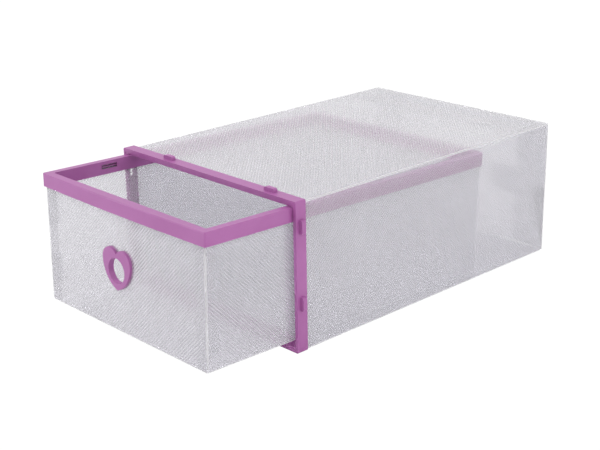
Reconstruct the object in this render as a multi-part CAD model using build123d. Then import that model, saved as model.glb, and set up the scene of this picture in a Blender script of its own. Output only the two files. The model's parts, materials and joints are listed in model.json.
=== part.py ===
from build123d import *
import math
import os

# Flat-pack drawer shoe box: a folded clear sleeve with a moulded frame around its mouth, and a
# folded clear drawer with a moulded rim and a heart-shaped finger pull.
# Millimetres, +Z up, the mouth faces -Y. The origin is the middle of the sleeve's footprint, on
# the surface that it stands on. The drawer is modelled partly pulled out.

# Overall sizes
box_length = 310.0
frame_width = 211.0
frame_height = 121.0
frame_depth = 10.0
sheet = 0.6

# Mouth frame
side_bar = 3.5
top_bar = 4.7
sill_height = 4.0
skirt = 1.7
frame_lip = 4.0
frame_corner_radius = 1.6
opening_corner_radius = 1.2
front_step_width = 1.7
front_step_depth = 0.4
rib_thickness = 2.6
rib_end_gap = 7.0

# Stacking lugs on the top and right of the frame, and their sockets underneath and on the left
lug_length = 11.0
lug_depth = 3.8
lug_height = 3.3
lug_gap_before_rib = 0.4
lug_corner_radius = 1.8
lug_pitch_top = 122.0
lug_shift_top = 12.0
lug_pitch_side = 61.0
lug_shift_side = 10.0
socket_clearance = 0.3

# Sleeve
sleeve_fold_inside = 0.4
tuck_flap_length = 46.0
tuck_flap_side_gap = 8.0
dust_flap_width = 33.0
dust_tongue_length = 27.0
dust_tongue_height = 24.0
tongue_slit_back = 41.0
tongue_slit_length = 12.0
tongue_slit_width = 1.6
tongue_slit_from_side = 36.2
spare_slit_back = 67.0
spare_slit_length = 14.0
spare_slit_width = 1.0
spare_slit_from_side = 27.7
tongue_rise = 0.5

# Drawer
pulled_out = 84.6
drawer_floor = 8.4
rear_room = 5.0
rim_height = 11.0
rim_bar_width = 6.5
rim_roof = 1.6
rim_inner_leg = 1.3
rim_side_overhang = 2.7
rim_front_overhang = 1.3
rim_front_bow = 1.6
rim_front_radius = 1.2
rim_rear_radius = 6.0
rim_edge_radius = 0.7
sheet_top_gap = 0.7
drawer_fold_inside = 0.3
window_length = 15.5
window_height = 3.7
window_from_front = 52.0
window_below_top = 2.9
window_rib = 0.6
window_rib_overlap = 6.0

# Corner locks at the front of the drawer
front_flap_width = 11.0
lock_tab_reach = 10.5
lock_tab_height = 27.0
lower_tab_above_floor = 12.6
upper_tab_below_rim = 6.3
lock_tab_radius = 4.0
lock_tab_chamfer = 2.0

# Finger pull. The heart's other sizes are shares of its half width
heart_half_width = 17.5
heart_top_share = 0.937
heart_notch_share = 0.72
heart_tip_share = 0.949
finger_hole_share = 0.583
finger_hole_drop = 0.8
heart_thickness = 2.2
heart_rise = 3.25
heart_offset = -4.5
heart_edge_radius = 0.5
heart_tip_radius = 1.0
heart_notch_radius = 0.6
collar_wall = 1.1
backing_thickness = 1.5
collar_end_lip = 0.5

# Clearances
sheet_fit = 0.1
layer_gap = 0.15
rim_clearance = 0.3
rim_top_clearance = 0.4
support_clearance = 0.3
floor_clearance = 0.4
press_fit_gap = 0.05

# Worked out from the sizes above
front_plane = -box_length / 2
back_plane = box_length / 2
opening_width = frame_width - 2 * side_bar
opening_top = frame_height - top_bar
sleeve_width = frame_width - 2 * (skirt + sheet_fit)
sleeve_top = frame_height - skirt - sheet_fit
sleeve_front = front_plane + frame_lip + sheet_fit
lug_setback = frame_depth - rib_thickness - lug_gap_before_rib - lug_depth
tongue_slit_middle = sleeve_width / 2 - tongue_slit_from_side
spare_slit_middle = sleeve_width / 2 - spare_slit_from_side
dust_tongue_middle = sleeve_top / 2
rim_width = opening_width - 2 * rim_clearance
rim_top = opening_top - rim_top_clearance
rim_bottom = rim_top - rim_height
rim_length = box_length - rear_room
drawer_width = rim_width - 2 * rim_side_overhang
drawer_length = rim_length - rim_front_overhang - rim_side_overhang
drawer_top = rim_top - rim_roof - sheet_top_gap
lower_tab_bottom = drawer_floor + lower_tab_above_floor
upper_tab_bottom = rim_bottom - upper_tab_below_rim - lock_tab_height
heart_middle_height = (drawer_floor + rim_bottom) / 2 + heart_rise
heart_top = heart_half_width * heart_top_share
heart_notch = heart_half_width * heart_notch_share
heart_tip = heart_half_width * heart_tip_share
finger_hole_radius = heart_half_width * finger_hole_share
collar_radius = finger_hole_radius + collar_wall
sleeve_fold_radius = sleeve_fold_inside + sheet
drawer_fold_radius = drawer_fold_inside + sheet

# Pushed home, the drawer rests on the frame's rib in front and just clears the sleeve's floor
# behind, so it lies nose up by this angle, and slides along its own length.
drawer_tilt = math.asin(
    (drawer_floor - sheet - floor_clearance) / (rim_length - rim_side_overhang)
)

# Drawer pieces are modelled level, with y measured from the front plane, and tilted last
rim_front = -pulled_out
rim_rear = rim_front + rim_length
drawer_front = rim_front + rim_front_overhang
drawer_rear = drawer_front + drawer_length


def block(x_low, x_high, y_low, y_high, z_low, z_high):
    """A box between two opposite corners."""
    middle = Pos((x_low + x_high) / 2, (y_low + y_high) / 2, (z_low + z_high) / 2)
    return middle * Box(x_high - x_low, y_high - y_low, z_high - z_low)


def rounded_block(x_low, x_high, y_low, y_high, z_low, z_high, along, radius):
    """A box whose four edges along one axis are rounded."""
    solid = block(x_low, x_high, y_low, y_high, z_low, z_high)
    return fillet(solid.edges().filter_by(along), radius)


def in_place(piece):
    """Tilt a level drawer piece, nose up, and move it to the mouth."""
    return Pos(0, front_plane, 0) * Rot(-math.degrees(drawer_tilt), 0, 0) * piece


# Where the lugs and sockets sit along the top and the side
lug_places_top = [lug_shift_top - lug_pitch_top / 2, lug_shift_top + lug_pitch_top / 2]
lug_places_side = [
    frame_height / 2 + lug_shift_side - lug_pitch_side / 2,
    frame_height / 2 + lug_shift_side + lug_pitch_side / 2,
]


def top_lug(x_middle):
    """A plate that stands on the frame's top face."""
    lug = block(
        x_middle - lug_length / 2,
        x_middle + lug_length / 2,
        front_plane + lug_setback,
        front_plane + lug_setback + lug_depth,
        frame_height - skirt,
        frame_height + lug_height,
    )
    return fillet(lug.edges().filter_by(Axis.Y).group_by(Axis.Z)[-1], lug_corner_radius)


def side_lug(z_middle):
    """The same plate, standing on the frame's right face."""
    lug = block(
        frame_width / 2 - skirt,
        frame_width / 2 + lug_height,
        front_plane + lug_setback,
        front_plane + lug_setback + lug_depth,
        z_middle - lug_length / 2,
        z_middle + lug_length / 2,
    )
    return fillet(lug.edges().filter_by(Axis.Y).group_by(Axis.X)[-1], lug_corner_radius)


def socket_cuts(reach, extra):
    """Openings through the sill and the left bar that take a neighbour's lugs."""
    half = lug_length / 2 + socket_clearance + extra
    y_low = front_plane + lug_setback - socket_clearance
    y_high = front_plane + lug_setback + lug_depth + socket_clearance + extra
    left = -frame_width / 2
    cuts = []
    for x_middle in lug_places_top:
        cuts.append(block(x_middle - half, x_middle + half, y_low, y_high, -1, reach))
    for z_middle in lug_places_side:
        cuts.append(block(left - 1, left + reach, y_low, y_high, z_middle - half, z_middle + half))
    return cuts


def mouth_frame():
    """The moulded ring around the sleeve's mouth, with its sheet groove, rib, lugs and sockets."""
    rear = front_plane + frame_depth
    ring = rounded_block(
        -frame_width / 2, frame_width / 2, front_plane, rear, 0, frame_height,
        Axis.Y, frame_corner_radius,
    )
    opening = rounded_block(
        -opening_width / 2, opening_width / 2, front_plane - 1, rear + 1,
        sill_height, opening_top, Axis.Y, opening_corner_radius,
    )
    step = rounded_block(
        -opening_width / 2 - front_step_width, opening_width / 2 + front_step_width,
        front_plane - 1, front_plane + front_step_depth,
        sill_height - front_step_width, opening_top + front_step_width,
        Axis.Y, opening_corner_radius,
    )
    ring = ring - opening - step

    # The groove takes the front edge of the sleeve, and is open underneath
    around = block(
        -sleeve_width / 2 - sheet_fit, sleeve_width / 2 + sheet_fit,
        front_plane + frame_lip, rear + 1, -1, sleeve_top + sheet_fit,
    )
    within = rounded_block(
        -sleeve_width / 2 + sheet + sheet_fit, sleeve_width / 2 - sheet - sheet_fit,
        front_plane + frame_lip - 1, rear + 2,
        sheet + sheet_fit, sleeve_top - sheet - sheet_fit,
        Axis.Y, sleeve_fold_inside - sheet_fit,
    )
    ring = ring - (around - within)

    # The rib that the drawer's floor runs on, just under its tilted underside
    rib_front = rear - rib_thickness
    rib_top = (
        drawer_floor * math.cos(drawer_tilt)
        - frame_depth * math.sin(drawer_tilt)
        - support_clearance
    )
    rib_half = drawer_width / 2 - rib_end_gap
    ring = ring + block(-rib_half, rib_half, rib_front, rear, sill_height - 1, rib_top)

    for x_middle in lug_places_top:
        ring = ring + top_lug(x_middle)
    for z_middle in lug_places_side:
        ring = ring + side_lug(z_middle)
    for cut in socket_cuts(max(side_bar, sill_height) + 1, 0):
        ring = ring - cut
    return ring


def sleeve_sheet():
    """The folded sleeve: four walls, a back panel with a tuck flap, and two dust flaps."""
    half = sleeve_width / 2
    shell = rounded_block(
        -half, half, sleeve_front, back_plane, 0, sleeve_top, Axis.Y, sleeve_fold_radius,
    )
    shell = shell - rounded_block(
        -half + sheet, half - sheet, sleeve_front - 1, back_plane - sheet,
        sheet, sleeve_top - sheet, Axis.Y, sleeve_fold_inside,
    )

    # The back panel hangs on its bottom fold: a slit frees its sides and its top
    flap_top = sleeve_top - sheet - layer_gap
    slit_inner = half - sheet - layer_gap
    for side in (-1, 1):
        x_pair = sorted([side * slit_inner, side * (half - sheet)])
        shell = shell - block(
            x_pair[0], x_pair[1], back_plane - sheet - 1, back_plane + 1,
            sleeve_fold_radius, flap_top + layer_gap,
        )
    shell = shell - block(
        -half + sheet, half - sheet, back_plane - sheet - 1, back_plane + 1,
        flap_top, flap_top + layer_gap,
    )

    # The tuck flap runs forward under the top, and its tongues rise through two slits
    flap_half = half - tuck_flap_side_gap
    shell = shell + block(
        -flap_half, flap_half, back_plane - tuck_flap_length, back_plane - sheet / 2,
        flap_top - sheet, flap_top,
    )
    for side in (-1, 1):
        middle = side * tongue_slit_middle
        slit_y = back_plane - tongue_slit_back
        shell = shell - block(
            middle - tongue_slit_length / 2, middle + tongue_slit_length / 2,
            slit_y - tongue_slit_width / 2, slit_y + tongue_slit_width / 2,
            flap_top + layer_gap / 2, sleeve_top + 1,
        )
        tongue_half = tongue_slit_length / 2 - layer_gap
        shell = shell + block(
            middle - tongue_half, middle + tongue_half,
            slit_y - sheet / 2, slit_y + sheet / 2,
            flap_top - sheet / 2, sleeve_top + tongue_rise,
        )
        middle = side * spare_slit_middle
        slit_y = back_plane - spare_slit_back
        shell = shell - block(
            middle - spare_slit_length / 2, middle + spare_slit_length / 2,
            slit_y - spare_slit_width / 2, slit_y + spare_slit_width / 2,
            flap_top, sleeve_top + 1,
        )

    # Each side wall turns in behind the back panel as a dust flap with a tongue
    flap_back = back_plane - sheet - layer_gap
    flap_ceiling = flap_top - sheet - layer_gap
    flap_floor = sheet + layer_gap
    for side in (-1, 1):
        x_pair = sorted([side * (half - sheet / 2), side * (half - dust_flap_width)])
        shell = shell + block(
            x_pair[0], x_pair[1], flap_back - sheet, flap_back, flap_floor, flap_ceiling,
        )
        tongue_end = half - dust_flap_width - dust_tongue_length
        x_pair = sorted([side * (half - dust_flap_width), side * tongue_end])
        shell = shell + block(
            x_pair[0], x_pair[1], flap_back - sheet, flap_back,
            dust_tongue_middle - dust_tongue_height / 2,
            dust_tongue_middle + dust_tongue_height / 2,
        )

    # Notches in the front edge let the neighbours' lugs through
    for cut in socket_cuts(max(side_bar, sill_height) + 1, sheet_fit):
        shell = shell - cut
    return shell


def rim_outline(z_level):
    """The rim's plan shape, with a slightly bowed front."""
    half = rim_width / 2
    front_left = (-half, rim_front)
    front_right = (half, rim_front)
    front = ThreePointArc(front_left, (0, rim_front - rim_front_bow), front_right)
    right = Line(front_right, (half, rim_rear))
    rear = Line((half, rim_rear), (-half, rim_rear))
    left = Line((-half, rim_rear), front_left)
    return Pos(0, 0, z_level) * make_face([front, right, rear, left])


def drawer_rim():
    """The inverted channel that caps the drawer's walls."""
    half = rim_width / 2
    rim = extrude(rim_outline(rim_bottom), rim_height)
    upright = rim.edges().filter_by(Axis.Z).group_by(Axis.Y)
    rim = fillet(upright[-1], rim_rear_radius)
    upright = rim.edges().filter_by(Axis.Z).group_by(Axis.Y)
    rim = fillet(upright[0], rim_front_radius)
    rim = fillet(rim.faces().sort_by(Axis.Z)[-1].outer_wire().edges(), rim_edge_radius)

    inner_half = half - rim_bar_width
    inner_front = rim_front + rim_bar_width
    inner_rear = rim_rear - rim_bar_width
    opening = rounded_block(
        -inner_half, inner_half, inner_front, inner_rear,
        rim_bottom - 1, rim_top + 1, Axis.Z, rim_inner_leg,
    )
    rim = rim - opening

    # The channel that the top edge of the drawer's walls stands in
    channel_out = block(
        -drawer_width / 2 - sheet_fit, drawer_width / 2 + sheet_fit,
        drawer_front - sheet_fit, drawer_rear + sheet_fit, rim_bottom - 1, rim_top - rim_roof,
    )
    channel_in = block(
        -inner_half - rim_inner_leg, inner_half + rim_inner_leg,
        inner_front - rim_inner_leg, inner_rear + rim_inner_leg,
        rim_bottom - 2, rim_top,
    )
    rim = rim - (channel_out - channel_in)

    # A window in each side bar's inner leg, with the rib behind it that steadies the wall
    window_top = rim_top - window_below_top
    window_middle = window_top - window_height / 2
    window_low = rim_front + window_from_front
    wall_inside = drawer_width / 2 - sheet - sheet_fit
    for side in (-1, 1):
        x_pair = sorted([side * (inner_half - 1), side * (inner_half + rim_inner_leg + sheet_fit)])
        rim = rim - block(
            x_pair[0], x_pair[1], window_low, window_low + window_length,
            window_top - window_height, window_top,
        )
        x_pair = sorted([side * (inner_half + rim_inner_leg / 2), side * wall_inside])
        rim = rim + block(
            x_pair[0], x_pair[1],
            window_low - window_rib_overlap, window_low + window_length + window_rib_overlap,
            window_middle - window_rib / 2, window_middle + window_rib / 2,
        )
    return rim


def lock_tab(side, z_low):
    """A tab of the front panel that folds back over a side wall."""
    x_pair = sorted([side * (drawer_width / 2 - sheet / 2), side * (drawer_width / 2 + sheet)])
    tab = block(
        x_pair[0], x_pair[1], drawer_front, drawer_front + lock_tab_reach,
        z_low, z_low + lock_tab_height,
    )
    back_edges = tab.edges().filter_by(Axis.X).group_by(Axis.Y)[-1].sort_by(Axis.Z)
    tab = fillet(back_edges[-1], lock_tab_radius)
    back_edges = tab.edges().filter_by(Axis.X).group_by(Axis.Z)[0].sort_by(Axis.Y)
    return chamfer(back_edges[-1], lock_tab_chamfer)


def drawer_sheet():
    """The folded drawer: floor, four walls, front corner flaps and lock tabs."""
    half = drawer_width / 2
    tray = block(-half, half, drawer_front, drawer_rear, drawer_floor, drawer_top)
    folds = tray.edges().filter_by(Axis.Z) + tray.edges().group_by(Axis.Z)[0]
    tray = fillet(folds, drawer_fold_radius)
    hollow = block(
        -half + sheet, half - sheet, drawer_front + sheet, drawer_rear - sheet,
        drawer_floor + sheet, drawer_top + drawer_fold_radius + 1,
    )
    folds = hollow.edges().filter_by(Axis.Z) + hollow.edges().group_by(Axis.Z)[0]
    tray = tray - fillet(folds, drawer_fold_inside)

    for side in (-1, 1):
        x_pair = sorted([side * (half - sheet / 2), side * (half - sheet - front_flap_width)])
        tray = tray + block(
            x_pair[0], x_pair[1], drawer_front + sheet / 2, drawer_front + 2 * sheet,
            drawer_floor + sheet / 2, drawer_top,
        )
        tray = tray + lock_tab(side, lower_tab_bottom)
        tray = tray + lock_tab(side, upper_tab_bottom)

    hole = Cylinder(collar_radius + press_fit_gap, 4 * sheet + 2, rotation=(90, 0, 0))
    return tray - Pos(heart_offset, drawer_front, heart_middle_height - finger_hole_drop) * hole


def heart_plate(thickness):
    """A heart-shaped plate whose back lies on the XZ plane."""
    notch = (0, heart_notch)
    tip = (0, -heart_tip)
    shoulder = heart_top * 0.44
    bulge = (heart_half_width * 0.79, -heart_tip * 0.35)
    edges = []
    for side in (-1, 1):
        widest = (side * heart_half_width, shoulder)
        lobe = (side * heart_half_width * 0.58, heart_top)
        edges.append(ThreePointArc(notch, lobe, widest))
        edges.append(ThreePointArc(widest, (side * bulge[0], bulge[1]), tip))
    plate = extrude(Plane.XZ * make_face(edges), thickness)
    corners = plate.edges().filter_by(Axis.Y).sort_by(Axis.Z)
    plate = fillet(corners[0], heart_tip_radius)
    corners = plate.edges().filter_by(Axis.Y).sort_by(Axis.Z)
    return fillet(corners[-1], heart_notch_radius)


def pull_hole(radius):
    """A round bar through the finger pull."""
    bar = Cylinder(radius, 6 * (heart_thickness + backing_thickness), rotation=(90, 0, 0))
    return Pos(0, 0, -finger_hole_drop) * bar


def heart_pull():
    """The heart on the drawer's front, with the collar that passes through the sheet."""
    heart = heart_plate(heart_thickness)
    heart = fillet(heart.faces().sort_by(Axis.Y)[0].edges(), heart_edge_radius)
    collar_length = sheet + backing_thickness + collar_end_lip
    collar = Pos(0, collar_length / 2, -finger_hole_drop) * Cylinder(
        collar_radius, collar_length, rotation=(90, 0, 0)
    )
    pull = heart + collar - pull_hole(finger_hole_radius)
    return Pos(heart_offset, drawer_front, heart_middle_height) * pull


def pull_backing():
    """The plate behind the sheet that the collar is pressed into."""
    backing = heart_plate(backing_thickness) - pull_hole(collar_radius + press_fit_gap)
    behind = drawer_front + sheet + backing_thickness
    return Pos(heart_offset, behind, heart_middle_height) * backing


os.makedirs("parts", exist_ok=True)
export_step(sleeve_sheet(), "parts/sleeve_sheet.step")
export_step(mouth_frame(), "parts/mouth_frame.step")
export_step(in_place(drawer_sheet()), "parts/drawer_sheet.step")
export_step(in_place(drawer_rim()), "parts/drawer_rim.step")
export_step(in_place(heart_pull()), "parts/heart_pull.step")
export_step(in_place(pull_backing()), "parts/pull_backing.step")
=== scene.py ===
"""Looks of a flat-pack drawer shoe box: folded clear sheets around lilac mouldings."""

import json
import logging
import math
from collections.abc import Callable
from dataclasses import dataclass, field
from enum import Enum

import bmesh
import bpy
import numpy as np
from mathutils import Matrix, Vector


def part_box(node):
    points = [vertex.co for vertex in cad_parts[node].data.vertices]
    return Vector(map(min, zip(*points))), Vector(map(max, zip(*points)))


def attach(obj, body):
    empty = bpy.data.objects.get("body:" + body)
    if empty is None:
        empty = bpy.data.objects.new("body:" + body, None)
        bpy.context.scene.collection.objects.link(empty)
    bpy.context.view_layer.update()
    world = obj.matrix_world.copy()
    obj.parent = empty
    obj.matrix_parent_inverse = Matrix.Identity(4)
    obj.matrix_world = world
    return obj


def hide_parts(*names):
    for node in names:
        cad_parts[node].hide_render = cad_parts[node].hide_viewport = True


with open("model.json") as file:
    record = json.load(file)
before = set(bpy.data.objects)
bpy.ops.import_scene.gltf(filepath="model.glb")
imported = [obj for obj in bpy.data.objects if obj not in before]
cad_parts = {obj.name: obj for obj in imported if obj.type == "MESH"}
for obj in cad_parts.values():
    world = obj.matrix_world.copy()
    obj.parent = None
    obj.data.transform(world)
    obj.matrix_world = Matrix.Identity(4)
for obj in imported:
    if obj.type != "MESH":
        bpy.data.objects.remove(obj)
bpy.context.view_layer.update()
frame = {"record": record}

MM = 0.001
TINY = 1e-7
LOOSE = 10 * TINY
WELD = 2e-6
FOLD_REACH = 2 * MM
RIGHT_ANGLE = math.pi / 2

log = logging.getLogger("shoe_box")


class RibSense(Enum):
    """Which way the ribs of a flat blank run, seen from its ribbed side."""

    RISING = 1
    FALLING = -1


class Axis(Enum):
    """A direction on a flat blank: across it or along it."""

    ACROSS = 0
    ALONG = 1


# ---------------------------------------------------------------- tools of the workshop


def deselect_all() -> None:
    """Leave edit mode and clear the selection."""
    if bpy.context.object and bpy.context.object.mode != "OBJECT":
        bpy.ops.object.mode_set(mode="OBJECT")
    bpy.ops.object.select_all(action="DESELECT")


def make_active(piece: bpy.types.Object) -> None:
    """Select one piece alone and make it the active one.

    Args:
        piece: The object to work on.
    """
    deselect_all()
    piece.select_set(True)
    bpy.context.view_layer.objects.active = piece


def select_faces(mesh: bpy.types.Mesh, wanted: Callable[[bmesh.types.BMFace], bool]) -> int:
    """Select the faces of the edited mesh that a test accepts.

    Args:
        mesh: The mesh in edit mode.
        wanted: A function from a face to True or False.

    Returns:
        How many faces were selected.
    """
    bpy.ops.mesh.select_mode(type="FACE")
    bpy.ops.mesh.select_all(action="DESELECT")
    work = bmesh.from_edit_mesh(mesh)
    count = 0
    for face in work.faces:
        if wanted(face):
            face.select_set(True)
            count += 1
    bmesh.update_edit_mesh(mesh)
    return count


def select_vertices(mesh: bpy.types.Mesh, wanted: Callable[[bmesh.types.BMVert], bool]) -> int:
    """Select the vertices of the edited mesh that a test accepts.

    Args:
        mesh: The mesh in edit mode.
        wanted: A function from a vertex to True or False.

    Returns:
        How many vertices were selected.
    """
    bpy.ops.mesh.select_mode(type="VERT")
    bpy.ops.mesh.select_all(action="DESELECT")
    work = bmesh.from_edit_mesh(mesh)
    count = 0
    for vertex in work.verts:
        if wanted(vertex):
            vertex.select_set(True)
            count += 1
    work.select_flush(True)
    bmesh.update_edit_mesh(mesh)
    return count


# ---------------------------------------------------------------- finishes


def new_group(name: str, inputs: dict[str, tuple[str, float]], outputs: dict[str, str]) -> bpy.types.NodeTree:
    """Start a shader node group.

    Args:
        name: The group's name.
        inputs: Socket type and default for each input name.
        outputs: Socket type for each output name.

    Returns:
        The group's tree, with its input and output nodes in it.
    """
    tree = bpy.data.node_groups.new(name, "ShaderNodeTree")
    for label, (kind, value) in inputs.items():
        socket = tree.interface.new_socket(label, in_out="INPUT", socket_type=kind)
        if kind == "NodeSocketFloat":
            socket.default_value = value
    for label, kind in outputs.items():
        tree.interface.new_socket(label, in_out="OUTPUT", socket_type=kind)
    tree.nodes.new("NodeGroupInput").name = "in"
    tree.nodes.new("NodeGroupOutput").name = "out"
    return tree


def add_node(tree: bpy.types.NodeTree, kind: str, **settings: object) -> bpy.types.Node:
    """Add a node and set its properties and sockets.

    Args:
        tree: The tree that takes the node.
        kind: The node's type.
        **settings: A property by its name, or a socket's value as in_NAME or in_NUMBER.

    Returns:
        The new node.
    """
    node = tree.nodes.new(kind)
    for key, value in settings.items():
        if not key.startswith("in_"):
            setattr(node, key, value)
            continue
        label = key[3:]
        socket = node.inputs[int(label)] if label.isdigit() else node.inputs[label.replace("_", " ")]
        socket.default_value = value
    return node


def maths(
    tree: bpy.types.NodeTree,
    operation: str,
    a: bpy.types.NodeSocket | float,
    b: bpy.types.NodeSocket | float | None = None,
) -> bpy.types.NodeSocket:
    """Add a Math node between sockets or numbers.

    Args:
        tree: The tree that takes the node.
        operation: The Math node's operation.
        a: A socket or a number.
        b: A second socket or number.

    Returns:
        The node's output.
    """
    node = add_node(tree, "ShaderNodeMath", operation=operation)
    for place, value in enumerate((a, b)):
        if value is None:
            continue
        if isinstance(value, (int, float)):
            node.inputs[place].default_value = value
        else:
            tree.links.new(value, node.inputs[place])
    return node.outputs[0]


def mapped(
    tree: bpy.types.NodeTree,
    value: bpy.types.NodeSocket,
    low: float,
    high: float,
    to_low: float,
    to_high: float,
) -> bpy.types.NodeSocket:
    """Carry a value from one range to another, clamped.

    Args:
        tree: The tree that takes the node.
        value: The socket that holds the value.
        low: Start of the range it comes from.
        high: End of the range it comes from.
        to_low: Result at the start.
        to_high: Result at the end.

    Returns:
        The node's output.
    """
    node = add_node(tree, "ShaderNodeMapRange")
    for label, number in (("From Min", low), ("From Max", high), ("To Min", to_low), ("To Max", to_high)):
        node.inputs[label].default_value = number
    tree.links.new(value, node.inputs["Value"])
    return node.outputs["Result"]


def surface_grain_group() -> bpy.types.NodeTree:
    """The fine spark grain and the slow cloudiness that moulds and rollers leave in plastic."""
    tree = new_group(
        "surface_grain",
        {"Vector": ("NodeSocketVector", 0.0), "Grain Scale": ("NodeSocketFloat", 2400.0),
         "Cloud Scale": ("NodeSocketFloat", 22.0)},
        {"Height": "NodeSocketFloat", "Cloud": "NodeSocketFloat"},
    )
    source, out = tree.nodes["in"], tree.nodes["out"]
    fine = add_node(tree, "ShaderNodeTexNoise", in_Detail=2.0, in_Roughness=0.55)
    coarse = add_node(tree, "ShaderNodeTexNoise", in_Detail=3.0, in_Roughness=0.5)
    tree.links.new(source.outputs["Vector"], fine.inputs["Vector"])
    tree.links.new(source.outputs["Vector"], coarse.inputs["Vector"])
    tree.links.new(source.outputs["Grain Scale"], fine.inputs["Scale"])
    tree.links.new(source.outputs["Cloud Scale"], coarse.inputs["Scale"])
    tree.links.new(fine.outputs["Fac"], out.inputs["Height"])
    tree.links.new(coarse.outputs["Fac"], out.inputs["Cloud"])
    return tree


def new_material(name: str) -> tuple[bpy.types.Material, bpy.types.NodeTree, bpy.types.Node]:
    """Start a material with one Principled shader.

    Args:
        name: The material's name.

    Returns:
        The material, its tree and the shader.
    """
    material = bpy.data.materials.new(name)
    material.use_nodes = True
    tree = material.node_tree
    return material, tree, tree.nodes["Principled BSDF"]


@dataclass(frozen=True)
class LilacPlastic:
    """Satin moulded polypropylene in lilac, with a painted highlight on its eased edges."""

    name: str
    colour: tuple[float, float, float] = (0.375, 0.110, 0.335)
    pale_colour: tuple[float, float, float] = (0.405, 0.130, 0.365)
    # Paler lilac painted on the eased edge faces as a highlight
    edge_highlight_colour: tuple[float, float, float] = (0.60, 0.30, 0.58)
    roughness: float = 0.36
    grain_scale: float = 2600.0
    cloud_scale: float = 30.0
    grain_height: float = 0.00002
    grain_strength: float = 0.25
    edge_highlight_share: float = 0.6
    refraction: float = 1.49
    glow: float = 0.08
    glow_reach: tuple[float, float, float] = (0.0012, 0.0006, 0.0012)

    def material(self, grain: bpy.types.NodeTree) -> bpy.types.Material:
        """Build the finish.

        Args:
            grain: The shared surface grain group.

        Returns:
            The material.
        """
        material, tree, shader = new_material(self.name)
        place = add_node(tree, "ShaderNodeTexCoord")
        texture = add_node(tree, "ShaderNodeGroup", node_tree=grain)
        texture.inputs["Grain Scale"].default_value = self.grain_scale
        texture.inputs["Cloud Scale"].default_value = self.cloud_scale
        tree.links.new(place.outputs["Object"], texture.inputs["Vector"])
        tone = add_node(tree, "ShaderNodeMix", data_type="RGBA",
                        in_6=(*self.colour, 1), in_7=(*self.pale_colour, 1))
        tree.links.new(mapped(tree, texture.outputs["Cloud"], 0.35, 0.65, 0.0, 1.0), tone.inputs[0])
        # Painted highlight: the eased edge faces are mixed towards a paler lilac, as if they caught the light
        eased = add_node(tree, "ShaderNodeAttribute", attribute_name="eased_edge")
        edge_highlit = add_node(tree, "ShaderNodeMix", data_type="RGBA", in_7=(*self.edge_highlight_colour, 1))
        tree.links.new(tone.outputs[2], edge_highlit.inputs[6])
        tree.links.new(maths(tree, "MULTIPLY", eased.outputs["Fac"], self.edge_highlight_share), edge_highlit.inputs[0])
        tree.links.new(edge_highlit.outputs[2], shader.inputs["Base Color"])
        uneven = mapped(tree, texture.outputs["Cloud"], 0.3, 0.7, -0.05, 0.06)
        rough = maths(tree, "ADD", uneven, self.roughness)
        tree.links.new(rough, shader.inputs["Roughness"])
        bump = add_node(
            tree, "ShaderNodeBump", in_Strength=self.grain_strength, in_Distance=self.grain_height
        )
        tree.links.new(texture.outputs["Height"], bump.inputs["Height"])
        tree.links.new(bump.outputs["Normal"], shader.inputs["Normal"])
        shader.inputs["IOR"].default_value = self.refraction
        shader.inputs["Subsurface Weight"].default_value = self.glow
        shader.inputs["Subsurface Radius"].default_value = self.glow_reach
        return material


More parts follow.
